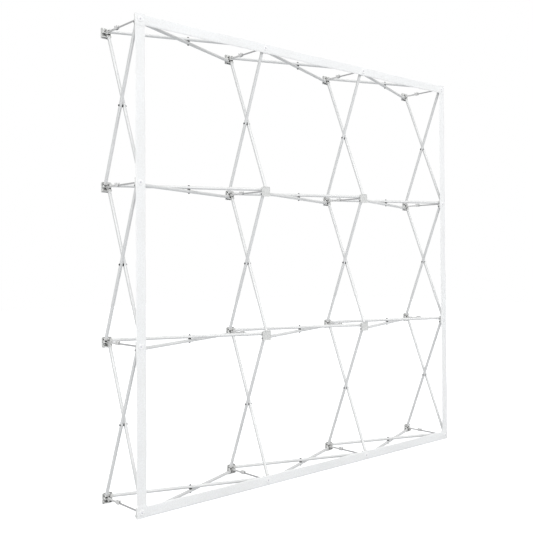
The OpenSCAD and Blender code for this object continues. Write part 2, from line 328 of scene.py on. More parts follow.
class SurfaceEffects:
    """The shader groups that finishes share, each built once, when it is first wanted."""

    @cached_property
    def mould_skin(self) -> Tree:
        """The fine spark-eroded grain and the slow flow tone of moulded plastic.

        Returns:
            The group.
        """
        scales = {"Grain_Scale": 2600.0, "Flow_Scale": 22.0}
        graph = GroupGraph("mould_skin", ("Height", "Tone"), Vector=None, **scales)
        vector, grain_scale, flow_scale = graph.given
        fine = graph.grain(vector, grain_scale, detail=2.0, roughness=0.6)
        slow = graph.grain(vector, flow_scale, detail=3.0, roughness=0.55)
        tone = graph.ramp(slow, low=0.3, high=0.7)
        return graph.put_out(Height=graph.blend(0.25, fine, slow), Tone=tone)

    @cached_property
    def edge_rub(self) -> Tree:
        """Worn edges: where a rounded normal leaves the true one, broken up by noise.

        Returns:
            The group.
        """
        graph = GroupGraph("edge_rub", ("Mask",), Vector=None, Radius=0.0006, Patchiness=90.0)
        vector, radius, patchiness = graph.given
        rounded = graph.made("ShaderNodeBevel", {"Radius": radius}, samples=6)
        true = graph.add("ShaderNodeNewGeometry").outputs["True Normal"]
        turn = graph.add("ShaderNodeVectorMath", {0: rounded, 1: true}, operation="DOT_PRODUCT")
        edge = graph.ramp(turn.outputs["Value"], low=0.995, high=0.86)
        blotches = graph.grain(vector, patchiness, detail=4.0, roughness=0.65)
        patches = graph.ramp(blotches, low=0.38, high=0.62)
        return graph.put_out(Mask=graph.times(edge, patches, clamp=True))

    @cached_property
    def corner_grime(self) -> Tree:
        """Painted shade in the insides of pockets and corners, where ambient occlusion finds them.

        Returns:
            The group.
        """
        graph = GroupGraph("corner_grime", ("Mask",), Reach=0.012, Open=0.24, Closed=0.06)
        reach, open_at, closed_at = graph.given
        # Painted shade: the mask rises where ambient occlusion finds other surfaces close.
        shelter = graph.add("ShaderNodeAmbientOcclusion", {"Distance": reach}, samples=8).outputs["AO"]
        return graph.put_out(Mask=graph.ramp(shelter, open_at, closed_at))

    @cached_property
    def settled_dust(self) -> Tree:
        """Thin uneven dust on faces that look up.

        Returns:
            The group.
        """
        graph = GroupGraph("settled_dust", ("Mask",), Vector=None, Scale=160.0, Amount=0.5)
        vector, scale, amount = graph.given
        normal = graph.add("ShaderNodeNewGeometry").outputs["Normal"]
        upward = graph.ramp(graph.parts(normal)[2], low=0.45, high=0.98)
        specks = graph.ramp(graph.grain(vector, scale, detail=5.0, roughness=0.7), low=0.35, high=0.75)
        return graph.put_out(Mask=graph.times(graph.times(upward, specks), amount, clamp=True))

    @cached_property
    def handling_marks(self) -> Tree:
        """Sparse short scuffs and broad smears from setting up and taking down.

        Returns:
            The group.
        """
        graph = GroupGraph("handling_marks", ("Scuff", "Smear"), Vector=None, Scale=60.0)
        vector, scale = graph.given
        drawn_out = graph.place(vector, scale=(1.0, 1.0, 0.04), turn=(0.5, 0.3, 0.9))
        lines = graph.grain(drawn_out, graph.times(scale, 9.0), detail=0.0, roughness=0.4)
        thin = graph.ramp(graph.maths("ABSOLUTE", graph.minus(lines, 0.5)), low=0.009, high=0.0)
        where = graph.ramp(graph.grain(vector, graph.times(scale, 0.6), detail=2.0), low=0.58, high=0.7)
        broad = graph.grain(vector, graph.times(scale, 0.25), detail=4.0, roughness=0.6)
        scuff = graph.times(thin, where, clamp=True)
        return graph.put_out(Scuff=scuff, Smear=graph.ramp(broad, low=0.4, high=0.7))

    @cached_property
    def face_film(self) -> Tree:
        """Faces that look out of the display side, darkened in uneven patches.

        Returns:
            The group.
        """
        graph = GroupGraph("face_film", ("Mask",), Vector=None, Scale=130.0)
        vector, scale = graph.given
        normal = graph.add("ShaderNodeNewGeometry").outputs["True Normal"]
        facing = graph.ramp(graph.parts(normal)[1], low=-0.8, high=-0.98)
        patches = graph.grain(vector, scale, detail=4.0, roughness=0.6)
        patchy = graph.ramp(patches, low=0.3, high=0.7, start=0.7, end=1.0)
        return graph.put_out(Mask=graph.times(facing, patchy, clamp=True))

    @cached_property
    def along_tube(self) -> Tree:
        """Coordinates turned so that X lies along the tube, for the two slants of a scissor.

        One tube of each pair runs on the low side of its row and the other on the high side, so
        the remainder of the height over the pitch tells which of the two a point is on.

        Returns:
            The group.
        """
        graph = GroupGraph("along_tube", ("Vector",), Vector=None, Slant=0.38, Pitch=0.735, First_Row=0.0)
        vector, slant, pitch, first = graph.given
        height = graph.maths("DIVIDE", graph.minus(graph.parts(vector)[2], first), pitch)
        low_side = graph.maths("GREATER_THAN", graph.maths("FRACT", height), 0.5)
        turns = [graph.join(0.0, 0.0, graph.times(slant, way)) for way in (1.0, -1.0)]
        one, other = (graph.place(vector, turn=turn) for turn in turns)
        return graph.put_out(Vector=graph.mix(Mix.VECTOR, low_side, one, other))

    @cached_property
    def draw_lines(self) -> Tree:
        """The fine lines that a die leaves along a tube or rod, whose axis is X.

        Returns:
            The group.
        """
        scales = {"Scale": 2200.0, "Streak_Scale": 300.0}
        graph = GroupGraph("draw_lines", ("Height", "Streak"), Vector=None, **scales)
        vector, scale, streak_scale = graph.given
        fine = graph.grain(graph.place(vector, scale=(0.006, 1.0, 1.0)), scale, roughness=0.6)
        broad = graph.grain(graph.place(vector, scale=(0.02, 1.0, 1.0)), streak_scale, roughness=0.6)
        return graph.put_out(Height=fine, Streak=graph.ramp(broad, low=0.3, high=0.7))

    @cached_property
    def loop_pile(self) -> Tree:
        """The brushed loops of the soft half of hook-and-loop tape, and a mask of painted shade between
        them.

        Returns:
            The group.
        """
        graph = GroupGraph("loop_pile", ("Height", "Tone", "Gap"), Vector=None, Loops=1450.0)
        vector, loops = graph.given
        sway = (0.0011, 0.0011, 0.0011)
        noisy = {"Vector": vector, "Scale": graph.times(loops, 1.1), "Detail": 3.0}
        fray = graph.add("ShaderNodeTexNoise", noisy).outputs["Color"]
        swing = graph.made("ShaderNodeVectorMath", {0: fray, 1: (0.5, 0.5, 0.5)}, operation="SUBTRACT")
        spread = {0: swing, 1: sway, 2: vector}
        frayed = graph.made("ShaderNodeVectorMath", spread, operation="MULTIPLY_ADD")
        cells = graph.add("ShaderNodeTexVoronoi", {"Vector": frayed, "Scale": loops, "Randomness": 1.0})
        curls = graph.grain(vector, graph.times(loops, 2.2), roughness=0.7)
        tufts = graph.grain(vector, graph.times(loops, 0.08), detail=4.0, roughness=0.6)
        height = graph.blend(0.45, graph.minus(1.0, cells.outputs["Distance"]), curls)
        # Painted shade: the low places between the loops.
        gap_shade = graph.ramp(height, low=0.52, high=0.3)
        tone = graph.ramp(tufts, low=0.32, high=0.68)
        return graph.put_out(Height=graph.blend(0.3, height, tufts), Tone=tone, Gap=gap_shade)

    @cached_property
    def tape_weave(self) -> Tree:
        """The plain weave of the tape's two selvedges.

        Returns:
            The group.
        """
        graph = GroupGraph("tape_weave", ("Height",), Vector=None, Threads=1600.0)
        vector, threads = graph.given
        turns = [graph.times(graph.times(axis, threads), math.tau) for axis in graph.parts(vector)[:2]]
        across, along = (graph.maths("SINE", turn) for turn in turns)
        return graph.put_out(Height=graph.ramp(graph.times(across, along), low=-1.0, high=1.0))


EFFECTS = SurfaceEffects()


# ---- The lattice, and the finishes ----


class Direction(Enum):
    """Which way a drawn piece runs."""

    LEVEL = "level"
    UPRIGHT = "upright"
    INTO_WALL = "into_wall"


@dataclass(frozen=True)
class Lattice:
    """Places and sizes of the lattice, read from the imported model."""

    pitch: float
    first_x: float
    first_z: float
    front_y: float
    slant: float
    count: int = 4

    @classmethod
    def from_frame(cls) -> "Lattice":
        """Measures the lattice on the boxes of its hubs and tubes.

        Returns:
            The lattice.
        """
        low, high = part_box("front_hubs_row_1")
        top_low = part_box(f"front_hubs_row_{cls.count}")[0]
        half = (high.z - low.z) / 2
        pitch = (top_low.z - low.z) / (cls.count - 1)
        tubes_low, tubes_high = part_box("level_tubes_row_1")
        tube_run = tubes_high.x - tubes_low.x - (cls.count - 2) * pitch
        slant = math.atan2(tubes_high.y - tubes_low.y, tube_run)
        return cls(pitch, low.x + half, low.z + half, low.y, slant)

    def at(self, column: float, row: float, y: float) -> Vector:
        """Returns the point on a hub's axis, or on a line between hubs, at a given Y."""
        return Vector((self.first_x + column * self.pitch, y, self.first_z + row * self.pitch))

    def edge_hubs(self) -> list[tuple[int, int]]:
        """Lists the hubs round the edge.

        Returns:
            The column and row of each.
        """
        ends = (0, self.count - 1)
        everywhere = [(column, row) for row in range(self.count) for column in range(self.count)]
        return [(column, row) for column, row in everywhere if column in ends or row in ends]

    def is_corner(self, column: int, row: int) -> bool:
        """Tells whether a hub is one of the four at the corners."""
        return {column, row} <= {0, self.count - 1}


@dataclass(frozen=True)
class Finish:
    """Base of the finishes: what one kind of surface is made of and how it has worn."""

    name: str

    def build(self) -> Material:
        """Makes the material."""
        raise NotImplementedError


@dataclass(frozen=True)
class MouldedPlastic(Finish):
    """Light grey injection-moulded plastic, worn at its edges, with painted shade in its pockets."""

    colour: Colour
    shade: Colour
    display_face_tint: Colour = (0.3, 0.305, 0.3)
    dust: Colour = (0.62, 0.6, 0.56)
    # The dark colour of the scuffs, and of the painted shade in pockets and corners.
    painted_shade_and_scuff: Colour = (0.07, 0.07, 0.066)
    rub_gain: float = 1.12
    rub_share: float = 0.45
    display_face_share: float = 0.0
    scuff_share: float = 0.22
    dust_share: float = 0.5
    # Painted shade: how much shows, how far its ambient occlusion looks, and the occlusion where it starts
    # and where it is full.
    painted_shade_share: float = 0.92
    painted_shade_reach: float = 0.02
    painted_shade_from: float = 0.24
    painted_shade_full: float = 0.06
    roughness: float = 0.46
    skin_depth: float = 0.00004

    def build(self) -> Material:
        """Makes the material.

        Returns:
            The material.
        """
        graph = SurfaceGraph(self.name)
        skin = graph.effect(EFFECTS.mould_skin)
        marks = graph.effect(EFFECTS.handling_marks)
        rub = graph.effect(EFFECTS.edge_rub)["Mask"]
        dust = graph.effect(EFFECTS.settled_dust, Amount=0.35)["Mask"]
        # Painted shade: ambient occlusion darkens the pockets and corners.
        corners = {"Reach": self.painted_shade_reach, "Open": self.painted_shade_from, "Closed": self.painted_shade_full}
        painted_shade_and_scuff = graph.effect(EFFECTS.corner_grime, **corners)["Mask"]
        coats = [(rub, self.rub_share, scaled(self.colour, self.rub_gain))]
        # Faces that look out of the display side are darkened in patches.
        if self.display_face_share:
            coats.append((graph.effect(EFFECTS.face_film)["Mask"], self.display_face_share, self.display_face_tint))
        coats += [
            (marks["Scuff"], self.scuff_share, self.painted_shade_and_scuff),
            (dust, self.dust_share, self.dust),
            (painted_shade_and_scuff, self.painted_shade_share, self.painted_shade_and_scuff),
        ]
        body = graph.tint(skin["Tone"], self.shade, self.colour)
        rough = graph.blend(marks["Smear"], self.roughness - 0.05, self.roughness + 0.07)
        return graph.close(
            skin["Height"],
            self.skin_depth,
            Base_Color=graph.coat(body, *coats),
            Roughness=graph.blend(graph.larger(rub, dust), rough, self.roughness + 0.2),
            IOR=1.49,
        )


@dataclass(frozen=True)
class DrawnMetal(Finish):
    """Drawn tube or rod, with die lines along it and the marks of handling."""

    colour: Colour
    dull: Colour
    runs: Direction
    lattice: Lattice
    dust: Colour = (0.6, 0.595, 0.57)
    # The colour of the painted shade where the metal runs into other parts.
    painted_shade_and_scuff: Colour = (0.12, 0.12, 0.115)
    smear_share: float = 0.12
    dust_share: float = 0.4
    painted_shade_share: float = 0.5
    metallic: float = 0.25
    roughness: float = 0.38
    dusty_roughness: float = 0.7
    line_depth: float = 0.000012

    def along(self, graph: SurfaceGraph) -> Socket:
        """Turns the object coordinates so that X runs along the piece.

        Args:
            graph: The material's graph.

        Returns:
            The turned coordinates.
        """
        grid = self.lattice
        x, y, z = graph.parts(graph.position)
        if self.runs is Direction.INTO_WALL:
            return graph.join(y, x, z)
        turned, first = graph.position, grid.first_z
        if self.runs is Direction.UPRIGHT:
            turned, first = graph.join(z, y, graph.times(x, -1.0)), -grid.first_x
        sizes = {"Slant": grid.slant, "Pitch": grid.pitch, "First_Row": first}
        return graph.effect(EFFECTS.along_tube, Vector=turned, **sizes)["Vector"]

    def build(self) -> Material:
        """Makes the material.

        Returns:
            The material.
        """
        graph = SurfaceGraph(self.name)
        lines = graph.effect(EFFECTS.draw_lines, Vector=self.along(graph))
        marks = graph.effect(EFFECTS.handling_marks, Scale=45.0)
        dust = graph.effect(EFFECTS.settled_dust, Amount=0.3)["Mask"]
        # Painted shade: ambient occlusion darkens the metal where it runs into hubs, rivets and washers.
        painted_shade_and_scuff = graph.effect(EFFECTS.corner_grime, Reach=0.006, Open=0.7, Closed=0.2)["Mask"]
        body = graph.coat(
            graph.tint(lines["Streak"], self.dull, self.colour),
            (marks["Smear"], self.smear_share, self.dull),
            (dust, self.dust_share, self.dust),
            (painted_shade_and_scuff, self.painted_shade_share, self.painted_shade_and_scuff),
        )
        rough = graph.blend(lines["Streak"], self.roughness - 0.06, self.roughness + 0.06)
        return graph.close(
            lines["Height"],
            self.line_depth,
            Base_Color=body,
            Roughness=graph.blend(graph.larger(marks["Scuff"], dust), rough, self.dusty_roughness),
            Metallic=graph.blend(dust, self.metallic, self.metallic * 0.5),
        )


@dataclass(frozen=True)
class PlatedSteel(Finish):
    """Blackened or zinc-plated steel, worn to bare metal where hands and tools touch."""

    colour: Colour = (0.022, 0.022, 0.024)
    bare: Colour = (0.36, 0.35, 0.34)
    rub_share: float = 0.7
    scuff_share: float = 0.5
    metallic: float = 0.25
    bare_metallic: float = 0.9
    specular: float = 0.25
    skin_depth: float = 0.00002

    def build(self) -> Material:
        """Makes the material.

        Returns:
            The material.
        """
        graph = SurfaceGraph(self.name)
        skin = graph.effect(EFFECTS.mould_skin, Grain_Scale=3800.0, Flow_Scale=140.0)
        rub = graph.effect(EFFECTS.edge_rub, Radius=0.0004, Patchiness=420.0)["Mask"]
        scuff = graph.effect(EFFECTS.handling_marks, Scale=240.0)["Scuff"]
        worn = graph.larger(graph.times(rub, self.rub_share), graph.times(scuff, self.scuff_share))
        body = graph.tint(skin["Tone"], self.colour, scaled(self.colour, 1.25, lift=0.007))
        return graph.close(
            skin["Height"],
            self.skin_depth,
            Base_Color=graph.tint(worn, body, self.bare),
            Metallic=graph.blend(worn, self.metallic, self.bare_metallic),
            Roughness=graph.blend(skin["Tone"], 0.42, 0.56),
            Specular_IOR_Level=self.specular,
        )


@dataclass(frozen=True)
class BlackNylon(Finish):
    """Black nylon of the spacer washers, polished by the tubes that turn on them."""

    colour: Colour = (0.014, 0.0145, 0.0155)
    polished: Colour = (0.16, 0.16, 0.16)
    dust: Colour = (0.3, 0.29, 0.27)
    rub_share: float = 0.35
    specular: float = 0.2
    skin_depth: float = 0.00003

    def build(self) -> Material:
        """Makes the material.

        Returns:
            The material.
        """
        graph = SurfaceGraph(self.name)
        skin = graph.effect(EFFECTS.mould_skin, Grain_Scale=3000.0, Flow_Scale=90.0)
        rub = graph.effect(EFFECTS.edge_rub, Radius=0.0005, Patchiness=260.0)["Mask"]
        dust = graph.effect(EFFECTS.settled_dust, Amount=0.5)["Mask"]
        body = graph.tint(skin["Tone"], self.colour, scaled(self.colour, 1.9))
        body = graph.coat(body, (rub, self.rub_share, self.polished))
        return graph.close(
            skin["Height"],
            self.skin_depth,
            Base_Color=graph.tint(dust, body, self.dust),
            Roughness=graph.blend(skin["Tone"], 0.42, 0.58),
            Specular_IOR_Level=self.specular,
        )


@dataclass(frozen=True)
class LoopTape(Finish):
    """White loop tape: a brushed pile between two plain woven selvedges, laid out on its UV map, with
    painted shade between the loops and where other parts come close.
    """

    width: float
    selvedge: float
    colour: Colour = (0.885, 0.895, 0.9)
    tired: Colour = (0.83, 0.835, 0.83)
    # The colour of the painted shade between the loops.
    painted_gap_shade: Colour = (0.6, 0.61, 0.615)
    thread: Colour = (0.87, 0.875, 0.875)
    handled: Colour = (0.76, 0.755, 0.74)
    # The colour of the painted shade where other parts come close.
    painted_shade_and_scuff: Colour = (0.4, 0.4, 0.39)
    painted_gap_share: float = 0.45
    smear_share: float = 0.22
    painted_shade_share: float = 0.5
    weave_height: float = 0.22
    pile_depth: float = 0.0003

    def build(self) -> Material:
        """Makes the material.

        Returns:
            The material.
        """
        graph = SurfaceGraph(self.name)
        uv = graph.made("ShaderNodeUVMap", uv_map=BandStrip.UV_NAME)
        half, pile_half = self.width / 2, self.width / 2 - self.selvedge
        off_middle = graph.maths("ABSOLUTE", graph.minus(graph.parts(uv)[1], half))
        woven = graph.ramp(off_middle, pile_half - 0.0004, pile_half + 0.0002)
        pile = graph.effect(EFFECTS.loop_pile, Vector=uv)
        weave = graph.effect(EFFECTS.tape_weave, Vector=uv)["Height"]
        smear = graph.effect(EFFECTS.handling_marks, Scale=30.0)["Smear"]
        painted_shade_and_scuff = graph.effect(EFFECTS.corner_grime, Reach=0.004, Open=0.6, Closed=0.1)["Mask"]
        body = graph.tint(pile["Tone"], self.tired, self.colour)
        # Painted shade between the loops of the pile.
        body = graph.coat(body, (pile["Gap"], self.painted_gap_share, self.painted_gap_shade))
        body = graph.tint(woven, body, self.thread)
        body = graph.coat(body, (smear, self.smear_share, self.handled))
        # Painted shade from ambient occlusion, where washers and other strips come close.
        body = graph.coat(body, (painted_shade_and_scuff, self.painted_shade_share, self.painted_shade_and_scuff))
        return graph.close(
            graph.blend(woven, pile["Height"], graph.times(weave, self.weave_height)),
            self.pile_depth,
            Base_Color=body,
            Roughness=graph.blend(woven, 0.95, 0.78),
            Sheen_Weight=0.12,
            Sheen_Roughness=0.5,
        )


# ---- Pieces that are modelled here ----


@dataclass
class Maker:
    """Base of the sub-assemblies: puts finished meshes in the scene and hands them to the frame."""

    lattice: Lattice

    def lay(self, node: str, mesh: Mesh, material: Material, slot: str) -> Object:
        """Makes a piece that rides on the lattice and stands for a CAD node.

        Args:
            node: The CAD node.
            mesh: The piece's mesh, in its place, with the name that the piece gets.
            material: Its finish.
            slot: A material slot's name; not used.

        Returns:
            The piece.
        """
        piece = put_in_scene(mesh.name, mesh)
        mesh.materials.clear()
        mesh.materials.append(material)
        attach(piece, LATTICE)
        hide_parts(node)
        log.info("%s: %d faces", piece.name, len(mesh.polygons))
        return piece


@dataclass
class BandStrip:
    """One strip of the hook-and-loop band, held flat on the hubs and slack between them.

    start is the middle of its back at its first end, and distances run along it from there. A hub holds
    it flat for held_half to each side of each of its holds. On its lifts it passes over another strip's
    end. Between hubs a level strip droops, and an upright one leans aside by a share of that. The seed
    is what its waves start from, and nick is the step that rounds the edges of its section.
    """

    UV_NAME = "tape"

    node: str
    start: Vector
    along: Vector
    across: Vector
    length: float
    width: float
    holds: list[float]
    lifts: list[tuple[float, float]]
    lift: float
    seed: int
    thickness: float = 0.0012
    selvedge: float = 0.003
    selvedge_thickness: float = 0.0008
    held_half: float = 0.034
    slack_in: float = 0.0032
    slack_out: float = 0.0016
    droop: float = 0.0022
    lean: float = 0.35
    twist: float = 0.0012
    ramp: float = 0.006
    station: float = 0.012
    nick: float = 0.0001

    def section(self) -> list[tuple[float, float]]:
        """Makes the tape's section.

        Returns:
            Offsets across the tape and out of its back, round the outside.
        """
        half, nick = self.width / 2, self.nick
        thin, full = self.selvedge_thickness, self.thickness
        pile_half = half - self.selvedge
        rise = [
            (half, nick),
            (half - nick, thin - 2 * nick),
            (half - 6 * nick, thin),
            (pile_half, thin),
            (pile_half - 4 * nick, full - nick),
            (pile_half - 15 * nick, full),
        ]
        flat = [half * share for share in (-0.6, -0.3, 0.0, 0.3, 0.6)]
        front = [(-v, w) for v, w in rise] + [(v, full) for v in flat] + rise[::-1]
        back = [(v, 0.0) for v in (half - 2 * nick, *flat[::-2], 2 * nick - half)]
        return front + back

    def sway(self, s: float) -> Triple:
        """Works out how the slack tape hangs. Each span takes its waves from another part of the noise.

        Args:
            s: Distance along the strip.

        Returns:
            How far the tape stands out, droops and twists there.
        """
        pitch = self.holds[1] - self.holds[0]
        number, passed = divmod(s - self.holds[0] - self.held_half, pitch)
        share = passed / (pitch - 2 * self.held_half)
        if share >= 1.0 or not 0 <= number < len(self.holds) - 1:
            return 0.0, 0.0, 0.0
        window = math.sin(math.pi * share) ** 2
        spot = Vector((3.1 * number + 0.7, 5.3 * self.seed, 2.2 * share))
        wander = noise.noise(spot) + 0.35 * math.sin(2 * math.pi * share + self.seed + number)
        reach = self.slack_out if wander > 0 else self.slack_in
        out = max(-1.0, min(1.0, 1.5 * wander)) * reach * window
        fullness = 0.7 + 0.3 * math.cos(self.seed + 2 * number)
        droop = self.droop * math.sin(math.pi * share) ** 1.5 * fullness
        twist = self.twist * window * math.sin(2 * math.pi * share + 1.3 * self.seed + number)
        return out, droop, twist

    def raised(self, s: float) -> float:
        """Works out the lift where the tape passes over another strip's end.

        Args:
            s: Distance along the strip.

        Returns:
            The lift.
        """
        inside = max((min(s - low, high - s) for low, high in self.lifts), default=-self.ramp)
        share = min(1.0, max(0.0, inside / self.ramp + 1.0))
        return self.lift * share * share * (3 - 2 * share)

    def stations(self) -> list[float]:
        """Chooses where the strip has a section: evenly, and closer where it rises.

        Returns:
            Distances along the strip.
        """
        count = round(self.length / self.station)
        steps = {self.length * i / count for i in range(count + 1)}
        for low, high in self.lifts:
            steps |= {edge + self.ramp * i / 3 for edge in (low, high) for i in range(-3, 4)}
        return sorted(s for s in steps if 0.0 <= s <= self.length)

    def point(self, s: float, v: float, w: float) -> Vector:
        """Places a point of the section.

        Args:
            s: Distance along the strip.
            v: Offset across it.
            w: Offset out of its back.

        Returns:
            The point.
        """
        out, droop, twist = self.sway(s)
        level = abs(self.along.z) < 0.5
        hang = Vector((0.0, 0.0, -droop)) if level else Vector((self.lean * droop, 0.0, 0.0))
        stand = w + out + twist * v / (self.width / 2) + self.raised(s)
        return self.start + self.along * s + self.across * v + OUT_OF_WALL * stand + hang

    def mesh(self) -> Mesh:
        """Sweeps the section along the strip.

        Returns:
            The closed mesh, with a UV map in metres.
        """
        section = self.section()
        stations = self.stations()
        builder = bmesh.new()
        uv_layer = builder.loops.layers.uv.new(self.UV_NAME)
        rings = [[builder.verts.new(self.point(s, v, w)) for v, w in section] for s in stations]
        places = {}
        for s, ring in zip(stations, rings):
            for (v, _), vertex in zip(section, ring):
                places[vertex] = (s, v + self.width / 2)
        for ring, following in zip(rings, rings[1:]):
            for i in range(len(section)):
                j = (i + 1) % len(section)
                builder.faces.new((ring[i], ring[j], following[j], following[i]))
        builder.faces.new(rings[0][::-1])
        builder.faces.new(rings[-1])
        bmesh.ops.recalc_face_normals(builder, faces=builder.faces)
        for face in builder.faces:
            face.smooth = len(face.verts) == 4
            for loop in face.loops:
                loop[uv_layer].uv = places[loop.vert]
        mesh = bpy.data.meshes.new(self.node + "_tape")
        builder.to_mesh(mesh)
        builder.free()
        return mesh


@dataclass
class Band(Maker):
    """The hook-and-loop band round the front edge, in four strips."""

    lift_margin: float = 0.001
    least_lift: float = 0.00001
    first_seed: int = 2

    def strip(self, node: str, seed: int) -> BandStrip:
        """Lays out one strip on its CAD node's box.

        Args:
            node: The CAD node that it stands for.
            seed: What its waves start from.

        Returns:
            The strip, without droop if it lies at floor level.
        """
        low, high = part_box(node)
        grid, size, start = self.lattice, high - low, (low + high) / 2
        run, cross = (2, 0) if size.z > size.x else (0, 2)
        start.y, start[run] = grid.front_y, low[run]
        along, across = (Matrix.Identity(3).col[axis] for axis in (run, cross))
        first = grid.at(0, 0, 0.0)[run] - low[run]
        holds = [first + i * grid.pitch for i in range(grid.count)]
        lift = max(0.0, grid.front_y - low.y - BandStrip.thickness)
        over = size[cross] / 2 + self.lift_margin
        lifts = [(hold - over, hold + over) for hold in (holds[0], holds[-1]) if lift > self.least_lift]
        strip = BandStrip(node, start, along, across, size[run], size[cross], holds, lifts, lift, seed)
        if low.z < BandStrip.droop:
            strip.droop = 0.0
        return strip

    def build(self) -> None:
        """Makes the four strips."""
        hub_rows = [f"front_hubs_row_{row}" for row in range(1, self.lattice.count + 1)]
        rests = {
            "band_top": hub_rows[-1:],
            "band_bottom": hub_rows[:1],
            "band_left": hub_rows,
            "band_right": hub_rows,
        }
        low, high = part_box("band_top")
        finish = LoopTape("loop_tape", high.z - low.z, BandStrip.selvedge).build()
        for seed, (node, rows) in enumerate(rests.items(), self.first_seed):
            strip = self.strip(node, seed)
            piece = self.lay(node, strip.mesh(), finish, "band_fabric")


class PartTree(GroupGraph):
    """A geometry node tree that puts one small part on each of a set of points."""

    TURN = "turn"

    def __init__(self, name: str, **sizes: float) -> None:
        """Makes the tree, with the default of each size in metres."""
        super().__init__(name, ("Pieces",), "GeometryNodeTree", Points=None, Material=None, **sizes)
        self.points, self.material, *self.sizes = self.given

    def moved(self, part: Value, height: Value) -> Socket:
        """Lifts a part along its axis."""
        inputs = {0: part, "Translation": self.join(0.0, 0.0, height)}
        return self.made("GeometryNodeTransform", inputs)

    def disc(self, radius: Value, depth: Value, seat: Value, **counts: int) -> Socket:
        """Makes a disc that lies on a seat.

        Args:
            radius: Its radius.
            depth: Its thickness.
            seat: The height of its underside.
            **counts: The numbers of its vertices and segments, as the Cylinder node names them.

        Returns:
            The disc.
        """
        inputs = {"Radius": radius, "Depth": depth} | self.spaced(counts)
        disc = self.made("GeometryNodeMeshCylinder", inputs)
        return self.moved(disc, self.plus(seat, self.times(depth, 0.5)))

    def position(self) -> tuple[Socket, Socket, Socket, Socket]:
        """Returns a point's X, Y and Z, and how far it is from the axis."""
        x, y, z = self.parts(self.made("GeometryNodeInputPosition"))
        return x, y, z, self.maths("SQRT", self.plus(self.times(x, x), self.times(y, y)))

    def shaped(self, part: Value, x: Value, y: Value, z: Value) -> Socket:
        """Moves every point of a part to a new place."""
        return self.made("GeometryNodeSetPosition", {0: part, "Position": self.join(x, y, z)})

    def scatter(self, part: Value) -> "PartTree":
        """Puts the part on every point, turned as the point says, and closes the tree.

        Args:
            part: The geometry of one part, whose axis is Z.

        Returns:
            The finished tree.
        """
        smooth = self.made("GeometryNodeSetShadeSmooth", {0: part})
        angles = self.made("GeometryNodeInputNamedAttribute", {"Name": self.TURN}, data_type="FLOAT_VECTOR")
        turn = self.made("FunctionNodeEulerToRotation", {0: angles})
        inputs = {"Points": self.points, "Instance": smooth, "Rotation": turn}
        spread = self.made("GeometryNodeInstanceOnPoints", inputs)
        real = self.made("GeometryNodeRealizeInstances", {0: spread})
        self.put_out(Pieces=self.made("GeometryNodeSetMaterial", {0: real, "Material": self.material}))
        return self

    def grow(self, name: str, spots: list[Spot], material: Material) -> Mesh:
        """Runs the tree over a set of points and keeps the result as a plain mesh.

        Args:
            name: The name of the mesh.
            spots: Where the parts go, and how far each is turned from standing on Z.
            material: Their finish.

        Returns:
            The plain mesh.
        """
        seeds = bpy.data.meshes.new(name + "_points")
        seeds.from_pydata([tuple(place) for place, _ in spots], [], [])
        turns = seeds.attributes.new(self.TURN, "FLOAT_VECTOR", "POINT")
        turns.data.foreach_set("vector", [angle for _, turn in spots for angle in turn])
        host = put_in_scene(name + "_points", seeds)
        modifier = host.modifiers.new("parts", "NODES")
        modifier.node_group = self.tree
        items = self.tree.interface.items_tree
        sockets = {item.name: item.identifier for item in items if item.in_out == "INPUT"}
        modifier[sockets["Material"]] = material
        view = bpy.context.evaluated_depsgraph_get()
        mesh = bpy.data.meshes.new_from_object(host.evaluated_get(view))
        bpy.data.objects.remove(host)
        mesh.name = name
        return mesh


